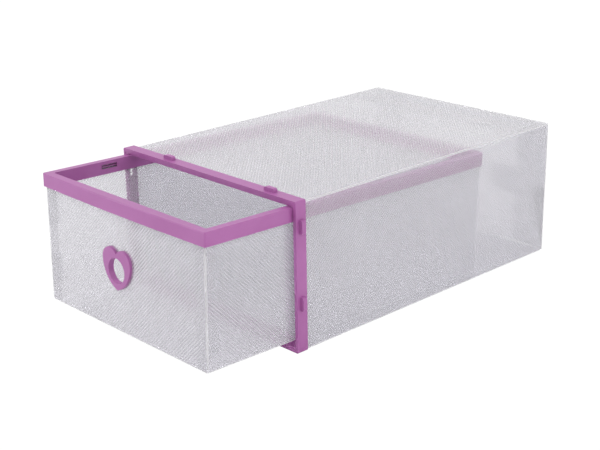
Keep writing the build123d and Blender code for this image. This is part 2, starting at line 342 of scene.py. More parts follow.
@dataclass(frozen=True)
class ClearSheet:
    """Ribbed translucent polypropylene sheet, whiter at its cut edges, with painted highlights along its rib
    grooves, its creases and around its slits.
    """

    name: str
    clear_colour: tuple[float, float, float] = (0.845, 0.84, 0.865)
    milky_colour: tuple[float, float, float] = (0.79, 0.78, 0.81)
    # White for the painted highlights on grooves, creases and slits, and for the whitened cut edges
    highlight_and_cut_white: tuple[float, float, float] = (0.87, 0.86, 0.88)
    haze: float = 0.21
    # Painted highlight along the rib grooves: how much milkier the grooves are made
    groove_highlight: float = 0.19
    # Painted highlight along the folds and around the slits: how much milkier they are made
    crease_highlight: float = 0.28
    edge_haze: float = 0.30
    roughness: float = 0.09
    milky_roughness: float = 0.38
    shade: tuple[float, float, float] = (0.88, 0.88, 0.89)
    grain_scale: float = 1500.0
    cloud_scale: float = 14.0
    grain_height: float = 0.00002
    grain_strength: float = 0.2
    groove_highlight_range: tuple[float, float] = (0.20, 0.60)
    crease_roughness: float = 0.3
    refraction: float = 1.49

    def material(self, grain: bpy.types.NodeTree) -> bpy.types.Material:
        """Build the finish.

        Args:
            grain: The shared surface grain group.

        Returns:
            The material.
        """
        material, tree, shader = new_material(self.name)
        place = add_node(tree, "ShaderNodeTexCoord")
        texture = add_node(tree, "ShaderNodeGroup", node_tree=grain)
        texture.inputs["Grain Scale"].default_value = self.grain_scale
        texture.inputs["Cloud Scale"].default_value = self.cloud_scale
        tree.links.new(place.outputs["Object"], texture.inputs["Vector"])
        marks = {
            label: add_node(tree, "ShaderNodeAttribute", attribute_name=label).outputs["Fac"]
            for label in ("crease", "groove", "cut_edge")
        }
        # Painted highlight: the rib grooves are pushed towards the milky, whiter shader, so the ribs show as
        # bright lines
        line = mapped(tree, marks["groove"], *self.groove_highlight_range, 0.0, 1.0)
        cloud = mapped(tree, texture.outputs["Cloud"], 0.3, 0.7, -0.03, 0.03)
        # Milky share: the sheet's own haze, plus painted highlights on grooves, creases and slits, plus
        # whitening on cut edges
        haze_and_highlight = maths(tree, "ADD", cloud, self.haze)
        for mask, share in (
            (line, self.groove_highlight), (marks["crease"], self.crease_highlight), (marks["cut_edge"], self.edge_haze)
        ):
            haze_and_highlight = maths(tree, "ADD", haze_and_highlight, maths(tree, "MULTIPLY", mask, share))
        # White mix: painted highlight on grooves, creases and slit borders, whitening on cut edges
        white = maths(tree, "MAXIMUM", maths(tree, "MAXIMUM", marks["crease"], marks["cut_edge"]), line)
        tone = add_node(tree, "ShaderNodeMix", data_type="RGBA",
                        in_6=(*self.milky_colour, 1), in_7=(*self.highlight_and_cut_white, 1))
        tree.links.new(white, tone.inputs[0])
        dim = tuple(0.96 * c for c in self.clear_colour)
        tint = add_node(tree, "ShaderNodeMix", data_type="RGBA", in_6=(*dim, 1), in_7=(*self.clear_colour, 1))
        tree.links.new(texture.outputs["Cloud"], tint.inputs[0])
        bump = add_node(
            tree, "ShaderNodeBump", in_Strength=self.grain_strength, in_Distance=self.grain_height
        )
        tree.links.new(texture.outputs["Height"], bump.inputs["Height"])
        rough = maths(tree, "ADD", maths(tree, "MULTIPLY", cloud, 0.5), self.roughness)
        creased = maths(tree, "MULTIPLY", marks["crease"], self.crease_roughness)
        tree.links.new(tint.outputs[2], shader.inputs["Base Color"])
        tree.links.new(maths(tree, "ADD", rough, creased), shader.inputs["Roughness"])
        shader.inputs["IOR"].default_value = self.refraction
        shader.inputs["Transmission Weight"].default_value = 1.0
        milky = add_node(tree, "ShaderNodeBsdfPrincipled")
        milky.inputs["IOR"].default_value = self.refraction
        tree.links.new(tone.outputs[2], milky.inputs["Base Color"])
        milky.inputs["Roughness"].default_value = self.milky_roughness
        tree.links.new(bump.outputs["Normal"], milky.inputs["Normal"])
        body = add_node(tree, "ShaderNodeMixShader")
        tree.links.new(haze_and_highlight, body.inputs[0])
        tree.links.new(shader.outputs[0], body.inputs[1])
        tree.links.new(milky.outputs[0], body.inputs[2])
        lamp = add_node(tree, "ShaderNodeLightPath")
        clear = add_node(tree, "ShaderNodeBsdfTransparent", in_Color=(*self.shade, 1))
        mixed = add_node(tree, "ShaderNodeMixShader")
        tree.links.new(lamp.outputs["Is Shadow Ray"], mixed.inputs[0])
        tree.links.new(body.outputs[0], mixed.inputs[1])
        tree.links.new(clear.outputs[0], mixed.inputs[2])
        tree.links.new(mixed.outputs[0], tree.nodes["Material Output"].inputs["Surface"])
        return material


@dataclass(frozen=True)
class PaleFloor:
    """Matt white studio floor with a barely uneven tone."""

    name: str = "pale_floor"
    colour: tuple[float, float, float] = (0.93, 0.93, 0.935)
    grain_scale: float = 300.0
    cloud_scale: float = 2.0
    roughness: float = 0.85
    seen_brightness: float = 1.05

    def material(self, grain: bpy.types.NodeTree) -> bpy.types.Material:
        """Build the finish.

        Args:
            grain: The shared surface grain group.

        Returns:
            The material.
        """
        material, tree, shader = new_material(self.name)
        place = add_node(tree, "ShaderNodeTexCoord")
        texture = add_node(tree, "ShaderNodeGroup", node_tree=grain)
        texture.inputs["Grain Scale"].default_value = self.grain_scale
        texture.inputs["Cloud Scale"].default_value = self.cloud_scale
        tree.links.new(place.outputs["Object"], texture.inputs["Vector"])
        dim = tuple(0.985 * c for c in self.colour)
        tone = add_node(tree, "ShaderNodeMix", data_type="RGBA", in_6=(*self.colour, 1), in_7=(*dim, 1))
        tree.links.new(texture.outputs["Cloud"], tone.inputs[0])
        tree.links.new(tone.outputs[2], shader.inputs["Base Color"])
        shader.inputs["Roughness"].default_value = self.roughness
        seen = add_node(tree, "ShaderNodeLightPath")
        lit = add_node(tree, "ShaderNodeEmission", in_Strength=self.seen_brightness)
        material.cycles.emission_sampling = "NONE"
        mixed = add_node(tree, "ShaderNodeMixShader")
        tree.links.new(seen.outputs["Is Camera Ray"], mixed.inputs[0])
        tree.links.new(shader.outputs[0], mixed.inputs[1])
        tree.links.new(lit.outputs[0], mixed.inputs[2])
        tree.links.new(mixed.outputs[0], tree.nodes["Material Output"].inputs["Surface"])
        return material


# ---------------------------------------------------------------- folded sheets


@dataclass(frozen=True)
class Patch:
    """A rectangle on a flat blank, in metres."""

    across: tuple[float, float]
    along: tuple[float, float]

    def holds(self, s: float, v: float, slack: float = 0.0) -> bool:
        """True if a point of the blank is in the patch, with some slack."""
        inside = self.across[0] - slack <= s <= self.across[1] + slack
        return inside and self.along[0] - slack <= v <= self.along[1] + slack


@dataclass(frozen=True)
class Bend:
    """A fold of a blank: the part past its start line turns up towards the smooth side."""

    axis: Axis
    start: float
    towards: int
    radius: float
    region: Patch
    carries: tuple[Patch, ...]
    angle: float = RIGHT_ANGLE

    @property
    def length(self) -> float:
        """How much of the blank the fold takes, along its ribbed side."""
        return self.radius * self.angle

    def span(self, margin: float) -> tuple[float, float]:
        """The stretch of the blank that the fold and its pressed margins take."""
        ends = (self.start - self.towards * margin, self.start + self.towards * (self.length + margin))
        return min(ends), max(ends)


@dataclass(frozen=True)
class Trim:
    """A straight trim of one corner of a panel: what lies past the line is cut away."""

    near: Patch
    point: tuple[float, float]
    outward: tuple[float, float]

    def takes(self, s: float, v: float) -> bool:
        """True if a point of the blank is cut away."""
        past = (s - self.point[0]) * self.outward[0] + (v - self.point[1]) * self.outward[1]
        return self.near.holds(s, v) and past > 0


@dataclass(frozen=True)
class RoundHole:
    """A round hole through a blank, punched with many straight sides."""

    middle: tuple[float, float]
    radius: float
    sides: int = 32

    def around(self) -> Patch:
        """The patch that the hole lies in."""
        s, v = self.middle
        reach = self.radius * 1.1
        return Patch((s - reach, s + reach), (v - reach, v + reach))

    def holds(self, s: float, v: float) -> bool:
        """Tell whether a point of the blank is in the hole.

        Args:
            s: The point's place across the blank.
            v: The point's place along the blank.

        Returns:
            True if the point is inside the hole's straight sides.
        """
        away = Vector((s - self.middle[0], v - self.middle[1]))
        angle = math.atan2(away.y, away.x)
        step = math.tau / self.sides
        off_side = (angle + step / 2) % step - step / 2
        return away.length * math.cos(off_side) < self.radius


@dataclass
class Blank:
    """A die-cut sheet with a ribbed outside, folded into shape.

    The blank is made flat, with its ribbed side down at z = 0, then cut, thickened and folded.
    """

    name: str
    panels: list[Patch]
    bends: list[Bend]
    sense: RibSense
    rib_pitch: float
    thickness: float = 0.6 * MM
    groove_depth: float = 0.06 * MM
    groove_half: float = 0.38 * MM
    fold_steps: int = 6
    pressed_margin: float = 0.10 * MM
    run_out: float = 0.25 * MM
    # Width of the painted highlight around each slit
    slit_highlight_margin: float = 0.7 * MM
    panel_reach: float = 0.4 * MM
    window_reach: float = 0.2 * MM
    windows: list[Patch] = field(default_factory=list)
    # Slits whose borders get a painted highlight
    highlit_slits: list[Patch] = field(default_factory=list)
    trims: list[Trim] = field(default_factory=list)
    holes: list[RoundHole] = field(default_factory=list)
    closes_at: tuple[float, float] | None = None
    place: Matrix = field(default_factory=lambda: Matrix.Identity(4))

    def build(self) -> bpy.types.Object:
        """Make the folded sheet.

        Returns:
            The finished object, with its place in its mesh.
        """
        self._ribbed_plane()
        self._cut_to_outline()
        self._score()
        self._thicken()
        self._note_flat_places()
        self._fold()
        return self._close()

    def _bounds(self) -> tuple[float, float, float, float]:
        """Find how far the panels reach.

        Returns:
            The lowest and highest place across the blank, then along it.
        """
        across = [edge for panel in self.panels for edge in panel.across]
        along = [edge for panel in self.panels for edge in panel.along]
        return min(across), max(across), min(along), max(along)

    def _ribbed_plane(self) -> None:
        """Lay a pleated plane under the whole blank, its ribs at 45 degrees."""
        s_low, s_high, v_low, v_high = self._bounds()
        step = self.rib_pitch / 3
        reach = (s_high - s_low + v_high - v_low) / math.sqrt(2) + 6 * self.rib_pitch
        columns = 6 * math.ceil(reach / self.rib_pitch / 2)
        width = columns * step
        deselect_all()
        bpy.ops.mesh.primitive_grid_add(
            x_subdivisions=columns, y_subdivisions=1, size=1.0, location=(0, 0, 0)
        )
        self.piece = bpy.context.object
        self.piece.name = self.name
        self.piece.data.name = self.name
        bpy.ops.object.mode_set(mode="EDIT")
        bpy.ops.transform.resize(value=(width, width, 1.0), center_override=(0, 0, 0))
        for third, move in enumerate(((0, 0, self.groove_depth), (self.groove_half - step, 0, 0),
                                      (step - self.groove_half, 0, 0))):
            select_vertices(self.piece.data, lambda v: round(v.co.x / step) % 3 == third)
            bpy.ops.transform.translate(value=move)
        bpy.ops.mesh.select_all(action="SELECT")
        bpy.ops.transform.rotate(
            value=math.radians(45) * self.sense.value, orient_axis="Z", center_override=(0, 0, 0)
        )
        # A rib line passes through the blank's own origin, so that closed blanks meet themselves
        period = self.rib_pitch * math.sqrt(2)
        middle_s = round((s_low + s_high) / 2 / period) * period
        middle_v = round((v_low + v_high) / 2 / period) * period
        bpy.ops.transform.translate(value=(middle_s, middle_v, 0))

    def _cut(self, axis: Axis, place: float, within: Patch | None = None) -> None:
        """Cut the sheet along a straight line.

        Args:
            axis: The direction in which the place is measured.
            place: Where the line lies.
            within: The patch that the cut stays near, or None for the whole sheet.
        """
        if within is None:
            bpy.ops.mesh.select_mode(type="FACE")
            bpy.ops.mesh.select_all(action="SELECT")
        else:
            select_faces(self.piece.data, lambda f: self._touches(f, within))
        normal = (1, 0, 0) if axis is Axis.ACROSS else (0, 1, 0)
        point = tuple(place * n for n in normal)
        bpy.ops.mesh.bisect(plane_co=point, plane_no=normal, threshold=TINY)

    @staticmethod
    def _touches(face: bmesh.types.BMFace, patch: Patch) -> bool:
        """Tell whether a face's own rectangle overlaps a patch.

        Args:
            face: A face of the flat blank.
            patch: The patch.

        Returns:
            True if they overlap.
        """
        s = [corner.co.x for corner in face.verts]
        v = [corner.co.y for corner in face.verts]
        across = max(s) > patch.across[0] + TINY and min(s) < patch.across[1] - TINY
        return across and max(v) > patch.along[0] + TINY and min(v) < patch.along[1] - TINY

    def _drop(self, unwanted: Callable[[float, float], bool]) -> None:
        """Delete the faces whose middles a test accepts."""
        if select_faces(self.piece.data, lambda f: unwanted(*f.calc_center_median().xy)):
            bpy.ops.mesh.delete(type="FACE")

    def _cut_to_outline(self) -> None:
        """Trim the sheet to its panels, then cut its windows and corners."""
        s_low, s_high, v_low, v_high = self._bounds()
        whole = Patch((s_low, s_high), (v_low, v_high))
        for axis, ends in ((Axis.ACROSS, whole.across), (Axis.ALONG, whole.along)):
            for place in ends:
                self._cut(axis, place)
        self._drop(lambda s, v: not whole.holds(s, v))
        for panel in self.panels:
            for axis, ends in ((Axis.ACROSS, panel.across), (Axis.ALONG, panel.along)):
                for place in ends:
                    self._cut(axis, place, self._grown(panel, self.panel_reach))
        self._drop(lambda s, v: not any(panel.holds(s, v) for panel in self.panels))
        for slit in self.highlit_slits:
            border = self._grown(slit, self.slit_highlight_margin)
            for axis, ends in ((Axis.ACROSS, border.across), (Axis.ALONG, border.along)):
                for place in ends:
                    self._cut(axis, place, self._grown(border, self.window_reach))
        for window in self.windows:
            for axis, ends in ((Axis.ACROSS, window.across), (Axis.ALONG, window.along)):
                for place in ends:
                    self._cut(axis, place, self._grown(window, self.window_reach))
            self._drop(window.holds)
        for trim in self.trims:
            self._slice(trim.near, trim.point, trim.outward)
            self._drop(trim.takes)
        for hole in self.holes:
            for side in range(hole.sides):
                angle = math.tau * side / hole.sides
                outward = (math.cos(angle), math.sin(angle))
                point = tuple(m + hole.radius * o for m, o in zip(hole.middle, outward))
                self._slice(hole.around(), point, outward)
            self._drop(hole.holds)

    def _slice(self, near: Patch, point: tuple[float, float], outward: tuple[float, float]) -> None:
        """Cut the faces near a place along a slanting line.

        Args:
            near: The patch whose faces are cut.
            point: A point of the line.
            outward: The line's normal.
        """
        if select_faces(self.piece.data, lambda f: self._touches(f, near)):
            bpy.ops.mesh.bisect(plane_co=(*point, 0), plane_no=(*outward, 0), threshold=TINY)

    @staticmethod
    def _grown(patch: Patch, by: float) -> Patch:
        """The same patch, larger all round."""
        return Patch((patch.across[0] - by, patch.across[1] + by), (patch.along[0] - by, patch.along[1] + by))

    def _score(self) -> None:
        """Cut each fold into steps and press its ribs flat."""
        for bend in self.bends:
            low, high = bend.span(self.pressed_margin)
            lines = [low - self.run_out, low, high, high + self.run_out]
            for step in range(self.fold_steps + 1):
                lines.append(bend.start + bend.towards * bend.length * step / self.fold_steps)
            for place in lines:
                self._cut(bend.axis, place, bend.region)

            def pressed(corner: bmesh.types.BMVert) -> bool:
                """True if a point lies in the fold or on its pressed margin."""
                place = corner.co[bend.axis.value]
                inside = bend.region.holds(corner.co.x, corner.co.y, LOOSE)
                return inside and low - LOOSE <= place <= high + LOOSE

            if select_vertices(self.piece.data, pressed):
                bpy.ops.transform.resize(value=(1, 1, 0), center_override=(0, 0, 0))

    def _thicken(self) -> None:
        """Give the sheet its thickness, with a smooth inner side."""
        bpy.ops.mesh.select_mode(type="FACE")
        bpy.ops.mesh.select_all(action="SELECT")
        bpy.ops.mesh.extrude_region_move(TRANSFORM_OT_translate={"value": (0, 0, 10 * self.thickness)})
        bpy.ops.transform.resize(value=(1, 1, 0), center_override=(0, 0, self.thickness))
        bpy.ops.mesh.select_all(action="SELECT")
        bpy.ops.mesh.normals_make_consistent(inside=False)
        bpy.ops.object.mode_set(mode="OBJECT")

    def _note_flat_places(self) -> None:
        """Keep each point's flat place as a UV map, and mark its grooves and creases."""
        mesh = self.piece.data
        flat = np.empty(len(mesh.vertices) * 3, np.float32)
        mesh.vertices.foreach_get("co", flat)
        self.flat = flat.reshape(-1, 3).astype(float)
        corners = np.empty(len(mesh.loops), np.int32)
        mesh.loops.foreach_get("vertex_index", corners)
        layer = mesh.uv_layers.new(name="flat_blank")
        layer.data.foreach_set("uv", (self.flat[corners, :2] * 4).astype(np.float32).ravel())
        # The crease mark drives a painted highlight along each fold in the sheet's finish
        crease = np.zeros(len(self.flat), np.float32)
        for bend in self.bends:
            low, high = bend.span(self.pressed_margin)
            place = self.flat[:, bend.axis.value]
            near = np.clip(1 - np.maximum(low - place, place - high) / self.run_out, 0, 1)
            other = self.flat[:, 1 - bend.axis.value]
            sides = bend.region.along if bend.axis is Axis.ACROSS else bend.region.across
            near[(other < sides[0] - TINY) | (other > sides[1] + TINY)] = 0
            crease = np.maximum(crease, near)
        # Painted highlight: a border around each slit is marked like a crease, so the finish paints it white
        for slit in self.highlit_slits:
            outside = [
                np.maximum(ends[0] - self.flat[:, k], self.flat[:, k] - ends[1])
                for k, ends in enumerate((slit.across, slit.along))
            ]
            crease = np.maximum(crease, np.clip(1 - np.maximum(*outside) / self.slit_highlight_margin, 0, 1))
        groove = np.where(self.flat[:, 2] < self.thickness / 2, self.flat[:, 2] / self.groove_depth, 0)
        for label, values in (("crease", crease), ("groove", groove)):
            mesh.attributes.new(label, "FLOAT", "POINT").data.foreach_set("value", values.astype(np.float32))
        edges = [float(abs(face.normal.z) < 0.3) for face in mesh.polygons]
        mesh.attributes.new("cut_edge", "FLOAT", "FACE").data.foreach_set("value", edges)

    def _fold(self) -> None:
        """Fold the sheet, the outermost fold first."""
        now = self.flat.copy()
        for bend in self.bends:
            k = bend.axis.value
            past = bend.towards * (self.flat[:, k] - bend.start)
            carried = np.zeros(len(self.flat), bool)
            for patch in bend.carries:
                inside = self.flat[:, :2] > np.array((patch.across[0], patch.along[0])) - 50 * TINY
                inside &= self.flat[:, :2] < np.array((patch.across[1], patch.along[1])) + 50 * TINY
                carried |= inside.all(axis=1)
            moves = (past > TINY) & carried
            turn = np.clip(past / bend.radius, 0, bend.angle)
            beyond = np.where(past > bend.length, bend.towards * (now[:, k] - bend.start) - bend.length, 0)
            depth = bend.radius - now[:, 2]
            out = depth * np.sin(turn) + beyond * np.cos(turn)
            up = bend.radius - depth * np.cos(turn) + beyond * np.sin(turn)
            now[moves, k] = (bend.start + bend.towards * out)[moves]
            now[moves, 2] = up[moves]
        turn = np.array(self.place.to_3x3())
        now = now @ turn.T + np.array(self.place.translation)
        self.piece.data.vertices.foreach_set("co", now.astype(np.float32).ravel())
        self.piece.data.update()

    def _close(self) -> bpy.types.Object:
        """Weld a blank that meets itself, and shade its folds smooth.

        Returns:
            The finished object.
        """
        mesh = self.piece.data
        make_active(self.piece)
        bpy.ops.object.mode_set(mode="EDIT")
        if self.closes_at:
            flat = self.flat

            def is_end(face: bmesh.types.BMFace) -> bool:
                """True if a face closes one end of the strip."""
                places = flat[[corner.index for corner in face.verts], 0]
                return any(np.all(np.abs(places - end) < LOOSE) for end in self.closes_at)

            select_faces(mesh, is_end)
            bpy.ops.mesh.delete(type="ONLY_FACE")
        bpy.ops.mesh.select_all(action="SELECT")
        bpy.ops.mesh.remove_doubles(threshold=WELD)
        bpy.ops.mesh.normals_make_consistent(inside=False)
        bpy.ops.object.mode_set(mode="OBJECT")
        folded = np.zeros(len(mesh.vertices), np.float32)
        mesh.attributes["crease"].data.foreach_get("value", folded)
        smooth = [all(folded[corner] > 0.99 for corner in face.vertices) for face in mesh.polygons]
        mesh.polygons.foreach_set("use_smooth", smooth)
        return self.piece


def dress(piece: bpy.types.Object, material: bpy.types.Material, body: str) -> None:
    """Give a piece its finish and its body.

    Args:
        piece: The finished piece.
        material: Its finish.
        body: The body that it rides on.
    """
    piece.data.materials.clear()
    piece.data.materials.append(material)
    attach(piece, body)
    log.info("%s: %d faces, rides on %s", piece.name, len(piece.data.polygons), body)


@dataclass
class Sleeve:
    """The folded outer sleeve, with its back panel, tuck flap and dust flaps."""

    sheet: float = 0.6 * MM
    fold_radius: float = 1.0 * MM
    layer_gap: float = 0.15 * MM
    tongue_rise: float = 0.5 * MM
    tuck_length: float = 46.0 * MM
    tuck_side_gap: float = 8.0 * MM
    dust_flap: float = 33.0 * MM
    dust_tongue: float = 27.0 * MM
    dust_tongue_height: float = 24.0 * MM
    slit_from_back: float = 41.0 * MM
    slit_from_side: float = 36.2 * MM
    slit_size: tuple[float, float] = (12.0 * MM, 1.6 * MM)
    spare_from_back: float = 67.0 * MM
    spare_from_side: float = 27.7 * MM
    spare_size: tuple[float, float] = (14.0 * MM, 1.0 * MM)
    notch_half: float = 5.9 * MM
    notch_depth: float = 3.3 * MM
    floor_notches: tuple[float, float] = (-49.0 * MM, 73.0 * MM)
    left_notches: tuple[float, float] = (40.0 * MM, 101.0 * MM)
    rib_rows: int = 213

    def build(self, finish: bpy.types.Material) -> None:
        """Make the sleeve and dress it.

        Args:
            finish: The clear sheet.
        """
        low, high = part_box("sleeve_sheet")
        self.half, self.top = high.x, high.z - self.tongue_rise
        self.front, self.back = low.y, high.y
        self.arc = self.fold_radius * RIGHT_ANGLE
        self.wall = self.top - 2 * self.fold_radius
        # Places along the wrap where the floor, right wall, top and left wall start
        self.starts = [-self.half + self.fold_radius]
        for flat in (2 * (self.half - self.fold_radius), self.wall) * 2:
            self.starts.append(self.starts[-1] + flat + self.arc)
        panels, bends = self._back_and_tuck()
        more_panels, more_bends = self._walls()
        blank = Blank(
            name="sleeve_blank",
            panels=panels + more_panels,
            bends=bends + more_bends,
            sense=RibSense.RISING,
            rib_pitch=(self.starts[4] - self.starts[0]) / self.rib_rows / math.sqrt(2),
            windows=self._slits() + self._notches(),
            highlit_slits=self._slits(),
            closes_at=(self.starts[0], self.starts[4]),
        )
        piece = blank.build()
        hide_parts("sleeve_sheet")
        dress(piece, finish, "sleeve")
        for side, name in ((-1, "tuck_tongue_left"), (1, "tuck_tongue_right")):
            dress(self._tongue(side, name), finish, "sleeve")

    def _back_and_tuck(self) -> tuple[list[Patch], list[Bend]]:
        """Lay out the floor, the back panel that rises from it, and the tuck flap.

        Returns:
            The panels and the folds between them.
        """
        r, arc = self.fold_radius, self.arc
        inset = self.sheet + self.layer_gap
        floor = (self.starts[0], self.starts[1] - arc)
        wide = (-self.half + inset, self.half - inset)
        tuck = (-self.half + self.tuck_side_gap, self.half - self.tuck_side_gap)
        edge = self.back - r
        rise = edge + arc
        fold = rise + self.top - inset - 2 * r
        end = fold + arc + self.tuck_length - r
        panels = [
            Patch(floor, (self.front, edge)), Patch(floor, (edge, rise)),
            Patch(wide, (rise, fold)), Patch(tuck, (fold, end)),
        ]
        bends = [
            Bend(Axis.ALONG, fold, 1, r, Patch(tuck, (fold - FOLD_REACH, end)), (Patch(tuck, (fold, end)),)),
            Bend(
                Axis.ALONG, edge, 1, r, Patch(floor, (edge - FOLD_REACH, rise + FOLD_REACH)),
                (Patch(wide, (edge, end)),),
            ),
        ]
        return panels, bends

    def _walls(self) -> tuple[list[Patch], list[Bend]]:
        """Lay out the side walls with their dust flaps and tongues, the top, and the long folds.

        Returns:
            The panels and the folds between them.
        """
        r, arc, wall = self.fold_radius, self.arc, self.wall
        inset = self.sheet + self.layer_gap
        flap_start = self.back - inset - r
        flap_end = flap_start + arc + self.dust_flap - r
        tongue_end = flap_end + self.dust_tongue
        tongue_low = (wall - self.dust_tongue_height) / 2
        panels = [Patch((self.starts[2], self.starts[3] - arc), (self.front, self.back))]
        bends = []
        for place in (self.starts[1], self.starts[3]):
            wide = (place + inset, place + wall - inset)
            tongue = (place + tongue_low, place + tongue_low + self.dust_tongue_height)
            panels.append(Patch((place, place + wall), (self.front, flap_start)))
            panels.append(Patch(wide, (flap_start, flap_end)))
            panels.append(Patch(tongue, (flap_end, tongue_end)))
            bends.append(Bend(
                Axis.ALONG, flap_start, 1, r,
                Patch(wide, (flap_start - FOLD_REACH, flap_start + 2 * FOLD_REACH)),
                (Patch(wide, (flap_start, tongue_end)),),
            ))
        for start in self.starts[4:0:-1]:
            panels.append(Patch((start - arc, start), (self.front, flap_start)))
            bends.append(Bend(
                Axis.ACROSS, start - arc, 1, r,
                Patch((start - arc - FOLD_REACH, start + FOLD_REACH), (self.front, flap_start)),
                (Patch((start - arc, self.starts[4]), (self.front, tongue_end)),),
            ))
        return panels, bends

    def _slits(self) -> list[Patch]:
        """Lay out the slits in the top that take the tuck flap's tongues, and the spare pair.

        Returns:
            The four slits.
        """
        slits = []
        rows = ((self.slit_from_side, self.slit_from_back, self.slit_size),
                (self.spare_from_side, self.spare_from_back, self.spare_size))
        for side in (-1, 1):
            for from_side, from_back, (length, width) in rows:
                s = self.starts[2] + (self.half - self.fold_radius) - side * (self.half - from_side)
                y = self.back - from_back
                slits.append(Patch((s - length / 2, s + length / 2), (y - width / 2, y + width / 2)))
        return slits

    def _notches(self) -> list[Patch]:
        """Lay out the notches in the front edge behind the frame's sockets.

        Returns:
            The notches.
        """
        places = list(self.floor_notches)
        places += [self.starts[3] + self.top - self.fold_radius - z for z in self.left_notches]
        along = (self.front - MM, self.front + self.notch_depth)
        return [Patch((s - self.notch_half, s + self.notch_half), along) for s in places]

    def _tongue(self, side: int, name: str) -> bpy.types.Object:
        """A tongue of the tuck flap that stands up in its slit.

        Args:
            side: Left (-1) or right (1).
            name: The piece's name.

        Returns:
            The finished tongue.
        """
        half_length = self.slit_size[0] / 2 - self.layer_gap
        foot = self.top - self.sheet - self.layer_gap + 0.05 * MM
        x = side * (self.half - self.slit_from_side)
        y = self.back - self.slit_from_back
        place = Matrix(((1, 0, 0, x), (0, 0, -1, y + self.sheet / 2), (0, 1, 0, foot), (0, 0, 0, 1)))
        return Blank(
            name=name,
            panels=[Patch((-half_length, half_length), (0, self.top + self.tongue_rise - foot))],
            bends=[], sense=RibSense.RISING, rib_pitch=2.15 * MM, place=place,
        ).build()


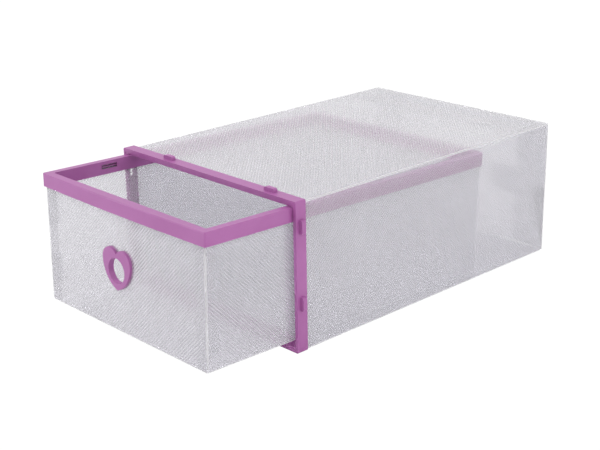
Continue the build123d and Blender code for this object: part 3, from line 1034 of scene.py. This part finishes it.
@dataclass
class Drawer:
    """The folded drawer: floor, four walls, corner flaps and the lock tabs at its front."""

    sheet: float = 0.6 * MM
    fold_radius: float = 0.9 * MM
    half: float = 99.0 * MM
    front: float = -83.3 * MM
    rear: float = 217.7 * MM
    floor: float = 8.4 * MM
    top: float = 113.6 * MM
    layer_gap: float = 0.06 * MM
    flap_gap: float = 0.3 * MM
    flap_width: float = 11.0 * MM
    tab_reach: float = 10.5 * MM
    tab_height: float = 27.0 * MM
    tab_bottoms: tuple[float, float] = (21.0 * MM, 71.6 * MM)
    tab_radius: float = 4.0 * MM
    tab_chamfer: float = 2.0 * MM
    hole_radius: float = 11.36 * MM
    hole_place: tuple[float, float] = (-4.5 * MM, 59.1 * MM)
    mouth: float = -155.0 * MM
    rib_pitch: float = 2.15 * MM

    def build(self, finish: bpy.types.Material) -> None:
        """Make the drawer and dress it.

        Args:
            finish: The clear sheet.
        """
        r = self.fold_radius
        arc = r * RIGHT_ANGLE
        wall_half = self.half - self.layer_gap
        fold = wall_half - r
        rise = self.top - self.floor - r
        front_fold, rear_fold = self.front + r, self.rear - r
        panel_foot = front_fold - arc
        panel_top = panel_foot - rise
        # The side walls turn in just behind the front panel, as corner flaps
        flap_fold = self.front + self.sheet + self.layer_gap + r
        flap_end = flap_fold - arc - (self.flap_width - r)
        wall = (fold + arc, fold + arc + rise)
        flap = (fold + arc + self.flap_gap, fold + arc + rise)
        panels = [
            Patch((-fold, fold), (front_fold, rear_fold)),
            Patch((-fold, fold), (panel_foot, front_fold)),
            Patch((-self.half, self.half), (panel_top, panel_foot)),
            Patch((-fold, fold), (rear_fold, rear_fold + arc + rise)),
        ]
        bends, trims = [], []
        tabs = []
        tab_fold = self.half + self.sheet - r
        tab_end = tab_fold + arc + self.tab_reach - r
        for side in (-1, 1):
            for bottom in self.tab_bottoms:
                high = panel_foot - (bottom - self.floor - r)
                tab = self._mirrored(side, tab_fold - r, tab_end, high - self.tab_height, high)
                tabs.append(tab)
                panels.append(tab)
                trims += self._tab_trims(side, tab_end, high)
                region = self._mirrored(side, tab_fold - FOLD_REACH, tab_fold + arc + FOLD_REACH, *tab.along)
                bends.append(Bend(Axis.ACROSS, side * tab_fold, side, r, region, (tab,)))
        for side in (-1, 1):
            panels.append(self._mirrored(side, *wall, flap_fold, rear_fold))
            panels.append(self._mirrored(side, fold, fold + arc, flap_fold, rear_fold))
            panels.append(self._mirrored(side, *wall, rear_fold, rear_fold + arc))
            panels.append(self._mirrored(side, *flap, flap_end, flap_fold))
            near_front = self._mirrored(side, *flap, flap_fold - arc - FOLD_REACH, flap_fold + FOLD_REACH)
            near_rear = self._mirrored(side, *wall, rear_fold - FOLD_REACH, rear_fold + arc)
            bends.append(Bend(Axis.ALONG, flap_fold, -1, r, near_front,
                              (self._mirrored(side, *flap, flap_end, flap_fold),)))
            bends.append(Bend(Axis.ALONG, rear_fold, 1, r, near_rear,
                              (self._mirrored(side, *wall, rear_fold, rear_fold + arc),)))
        bends.append(Bend(
            Axis.ALONG, front_fold, -1, r,
            Patch((-fold, fold), (panel_foot - FOLD_REACH, front_fold + FOLD_REACH)),
            (Patch((-self.half, self.half), (panel_top, front_fold)), *tabs),
        ))
        bends.append(Bend(
            Axis.ALONG, rear_fold, 1, r,
            Patch((-fold, fold), (rear_fold - FOLD_REACH, rear_fold + arc + FOLD_REACH)),
            (Patch((-fold, fold), (rear_fold, rear_fold + arc + rise)),),
        ))
        for side in (-1, 1):
            bends.append(Bend(
                Axis.ACROSS, side * fold, side, r,
                self._mirrored(side, fold - FOLD_REACH, fold + arc + FOLD_REACH, flap_fold, rear_fold),
                (self._mirrored(side, fold, fold + arc, flap_fold, rear_fold),
                 self._mirrored(side, *wall, flap_end, rear_fold + arc)),
            ))
        tilt = math.asin(frame["record"]["behaviour"]["joints"][0]["axis"][2])
        place = Matrix.Translation((0, self.mouth, 0)) @ Matrix.Rotation(-tilt, 4, "X")
        blank = Blank(
            name="drawer_blank", panels=panels, bends=bends, sense=RibSense.FALLING,
            rib_pitch=self.rib_pitch, trims=trims,
            holes=[RoundHole((self.hole_place[0], panel_foot - (self.hole_place[1] - self.floor - r)),
                             self.hole_radius)],
            place=place @ Matrix.Translation((0, 0, self.floor)),
        )
        piece = blank.build()
        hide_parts("drawer_sheet")
        dress(piece, finish, "drawer")

    @staticmethod
    def _mirrored(side: int, s_low: float, s_high: float, v_low: float, v_high: float) -> Patch:
        """A patch on the right side of the blank, or its mirror image on the left."""
        return Patch((min(side * s_low, side * s_high), max(side * s_low, side * s_high)), (v_low, v_high))

    def _tab_trims(self, side: int, end: float, bottom: float) -> list[Trim]:
        """The chamfered lower corner and the rounded upper corner of a lock tab.

        Args:
            side: Left (-1) or right (1).
            end: Where the tab ends across the blank, on the right.
            bottom: Where its lower edge lies along the blank.

        Returns:
            The trims.
        """
        c, r = self.tab_chamfer, self.tab_radius
        slant = math.sqrt(0.5)
        near = self._mirrored(side, end - c, end, bottom - c, bottom)
        trims = [Trim(near, (side * (end - c), bottom), (side * slant, slant))]
        top = bottom - self.tab_height
        near = self._mirrored(side, end - r, end, top, top + r)
        for step in range(1, 6):
            angle = RIGHT_ANGLE * step / 6
            outward = (side * math.cos(angle), -math.sin(angle))
            point = (side * (end - r) + r * outward[0], top + r + r * outward[1])
            trims.append(Trim(near, point, outward))
        return trims


# ---------------------------------------------------------------- mouldings


@dataclass
class Moulding:
    """A moulded CAD part whose sharp edges are eased as a mould leaves them."""

    node: str
    name: str
    body: str
    edge: float = 0.35 * MM
    segments: int = 2
    sharp: float = math.radians(32)
    flat_within: float = math.radians(0.6)
    smooth_within: float = math.radians(40)

    def build(self, finish: bpy.types.Material) -> bpy.types.Object:
        """Copy the CAD part, ease its edges and dress it.

        Args:
            finish: The moulding's plastic.

        Returns:
            The new piece.
        """
        source = bpy.data.objects[self.node]
        piece = bpy.data.objects.new(self.name, source.data.copy())
        piece.data.name = self.name
        piece.data.materials.clear()
        for _ in range(2):
            piece.data.materials.append(finish)
        bpy.context.scene.collection.objects.link(piece)
        make_active(piece)
        bpy.ops.object.mode_set(mode="EDIT")
        bpy.ops.mesh.select_all(action="SELECT")
        bpy.ops.mesh.remove_doubles(threshold=WELD)
        bpy.ops.mesh.dissolve_limited(angle_limit=self.flat_within)
        bpy.ops.object.mode_set(mode="OBJECT")
        modifier = piece.modifiers.new("eased_edges", "BEVEL")
        modifier.width = self.edge
        modifier.segments = self.segments
        modifier.limit_method = "ANGLE"
        modifier.angle_limit = self.sharp
        modifier.use_clamp_overlap = True
        modifier.material = 1
        bpy.ops.object.modifier_apply(modifier=modifier.name)
        eased = [float(face.material_index) for face in piece.data.polygons]
        piece.data.attributes.new("eased_edge", "FLOAT", "FACE").data.foreach_set("value", eased)
        piece.data.polygons.foreach_set("material_index", [0] * len(eased))
        bpy.ops.object.shade_smooth_by_angle(angle=self.smooth_within)
        weigh = piece.modifiers.new("flat_faces_stay_flat", "WEIGHTED_NORMAL")
        weigh.keep_sharp = True
        bpy.ops.object.modifier_apply(modifier=weigh.name)
        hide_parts(self.node)
        dress(piece, finish, self.body)
        return piece


# ---------------------------------------------------------------- studio


@dataclass(frozen=True)
class Lamp:
    """A soft box that faces the shoe box."""

    name: str
    place: tuple[float, float, float]
    power: float
    size: float

    def build(self, target: Vector) -> None:
        """Hang the lamp.

        Args:
            target: The point that it faces.
        """
        data = bpy.data.lights.new(self.name, "AREA")
        data.energy = self.power
        data.shape = "SQUARE"
        data.size = self.size
        lamp = bpy.data.objects.new(self.name, data)
        lamp.location = self.place
        lamp.rotation_mode = "QUATERNION"
        lamp.rotation_quaternion = (target - Vector(self.place)).to_track_quat("-Z", "Y")
        bpy.context.scene.collection.objects.link(lamp)


@dataclass(frozen=True)
class Studio:
    """The floor, the light and the camera.

    The floor shows plain white to the camera and is an ordinary pale floor for all other light.
    """

    focal_length: float = 73.96
    azimuth: float = math.radians(46.88)
    elevation: float = math.radians(19.53)
    roll: float = math.radians(-1.05)
    eye: tuple[float, float, float] = (0.72384, -0.73007, 0.40311)
    floor_half: float = 9.0
    floor_drop: float = 0.2 * MM
    faced: tuple[float, float, float] = (0.0, -0.03, 0.06)
    sky: tuple[float, float] = (0.56, 0.99)
    brightest_way: tuple[float, float, float] = (-0.60, -0.30, 0.74)

    def build(self, grain: bpy.types.NodeTree) -> None:
        """Set up the whole studio.

        Args:
            grain: The shared surface grain group.
        """
        self._floor(grain)
        self._sky()
        self._camera()
        target = Vector(self.faced)
        for lamp in (
            Lamp("key_lamp", (-1.5, -1.3, 1.7), 14.0, 0.9),
            Lamp("side_lamp", (1.9, 0.5, 1.0), 9.0, 1.2),
            Lamp("top_lamp", (0.0, 0.5, 2.2), 4.0, 1.4),
        ):
            lamp.build(target)
        bpy.context.scene.view_settings.view_transform = "Standard"

    def _floor(self, grain: bpy.types.NodeTree) -> None:
        """Lay the floor just under the box."""
        deselect_all()
        bpy.ops.mesh.primitive_grid_add(
            x_subdivisions=12, y_subdivisions=12, size=2 * self.floor_half, location=(0, 0, -self.floor_drop)
        )
        floor = bpy.context.object
        floor.name = "studio_floor"
        floor.data.materials.append(PaleFloor().material(grain))

    def _sky(self) -> None:
        """Surround the scene with white light that falls off from the upper left to the right."""
        world = bpy.data.worlds.new("studio_sky")
        world.use_nodes = True
        tree = world.node_tree
        back = tree.nodes["Background"]
        back.inputs["Color"].default_value = (1, 1, 1, 1)
        direction = add_node(tree, "ShaderNodeTexCoord")
        along = add_node(tree, "ShaderNodeVectorMath", operation="DOT_PRODUCT")
        along.inputs[1].default_value = self.brightest_way
        tree.links.new(direction.outputs["Generated"], along.inputs[0])
        tree.links.new(mapped(tree, along.outputs["Value"], -1, 1, *self.sky), back.inputs["Strength"])
        bpy.context.scene.world = world

    def _camera(self) -> None:
        """Place the camera."""
        a, e = self.azimuth, self.elevation
        back = Vector((math.sin(a) * math.cos(e), -math.cos(a) * math.cos(e), math.sin(e)))
        right = back.cross(Vector((0, 0, 1))).normalized() * -1
        up = back.cross(right)
        turned_right = math.cos(self.roll) * right + math.sin(self.roll) * up
        turned_up = -math.sin(self.roll) * right + math.cos(self.roll) * up
        data = bpy.data.cameras.new("camera")
        data.lens = self.focal_length
        data.clip_start, data.clip_end = 0.05, 60.0
        camera = bpy.data.objects.new("camera", data)
        place = Matrix((turned_right, turned_up, back)).transposed().to_4x4()
        place.translation = Vector(self.eye)
        camera.matrix_world = place
        bpy.context.scene.collection.objects.link(camera)
        bpy.context.scene.camera = camera


def main() -> None:
    """Build every part of the shoe box in order, then the studio."""
    logging.basicConfig(level=logging.INFO, format="%(message)s")
    grain = surface_grain_group()
    lilac = LilacPlastic("lilac_moulding").material(grain)
    sleeve_sheet = ClearSheet("clear_sleeve_sheet").material(grain)
    drawer_sheet = ClearSheet("clear_drawer_sheet").material(grain)
    Sleeve().build(sleeve_sheet)
    for node, name, body in (
        ("mouth_frame", "mouth_frame_moulding", "sleeve"),
        ("drawer_rim", "drawer_rim_moulding", "drawer"),
        ("heart_pull", "heart_pull_moulding", "drawer"),
        ("pull_backing", "pull_backing_moulding", "drawer"),
    ):
        Moulding(node, name, body).build(lilac)
    Drawer().build(drawer_sheet)
    Studio().build(grain)


if __name__ == "__main__":
    main()
